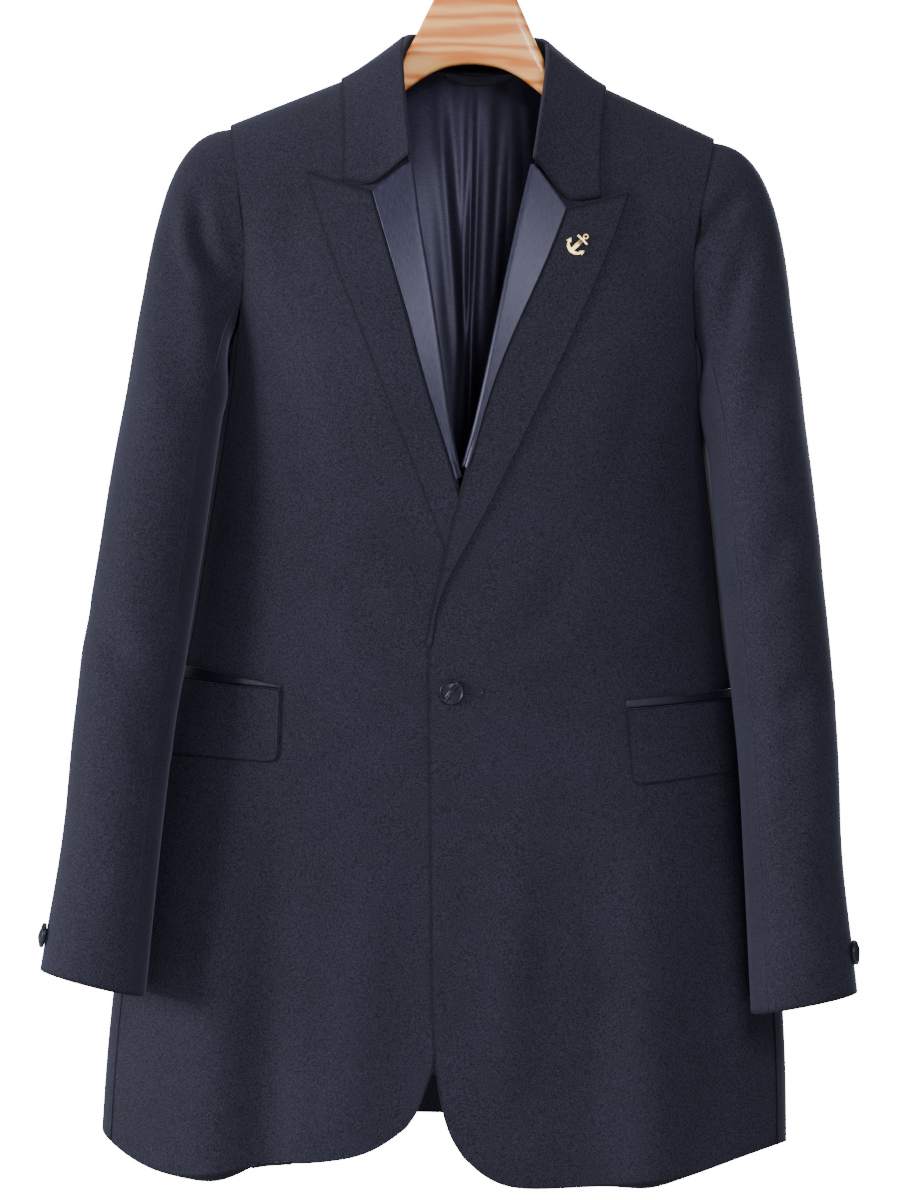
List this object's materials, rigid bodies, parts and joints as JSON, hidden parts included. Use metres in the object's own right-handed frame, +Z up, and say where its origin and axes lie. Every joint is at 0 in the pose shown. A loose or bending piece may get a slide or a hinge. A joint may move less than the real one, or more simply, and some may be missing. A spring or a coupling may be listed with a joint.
{
  "type": "tuxedo jacket on a wooden hanger",
  "caption": "Long slim single-breasted tuxedo jacket with peak lapels edged in satin, slanted flap pockets and a gold anchor lapel pin, hung on a contoured wooden hanger.",
  "frame": {"origin": "the bearing point of the hanger's hook, at the top of the inside of its bend, where a rail carries it", "axes": "+Z up, the jacket hanging below the origin; +X toward the jacket's left side (the viewer's right); -Y toward the viewer, out of the jacket's front"},
  "size_m": [0.6427, 0.1893, 1.013],
  "materials": {
    "wool": "fine matt navy-black wool cloth",
    "satin": "navy-black satin with a soft shine",
    "lining": "navy-black lining cloth with a low shine",
    "wood": "warm reddish-brown gloss varnish",
    "steel": "polished",
    "gold": "gold-plated, polished"
  },
  "bodies": {
    "root": {"front_right": "wool", "front_left": "wool", "side_right": "wool", "side_left": "wool", "back_right": "wool", "back_left": "wool", "top_sleeve_right": "wool", "top_sleeve_left": "wool", "under_sleeve_right": "wool", "under_sleeve_left": "wool", "collar": "wool", "lapel_wool_right": "wool", "lapel_wool_left": "wool", "pocket_flap_right": "wool", "pocket_flap_left": "wool", "lapel_satin_right": "satin", "lapel_satin_left": "satin", "pocket_welt_right": "satin", "pocket_welt_left": "satin", "front_button": "satin", "cuff_button_right": "satin", "cuff_button_left": "satin", "hanger_loop": "satin", "lining_back": "lining", "hanger_wood": "wood", "hanger_hook": "steel", "lapel_pin": "gold"}
  },
  "joints": []
}
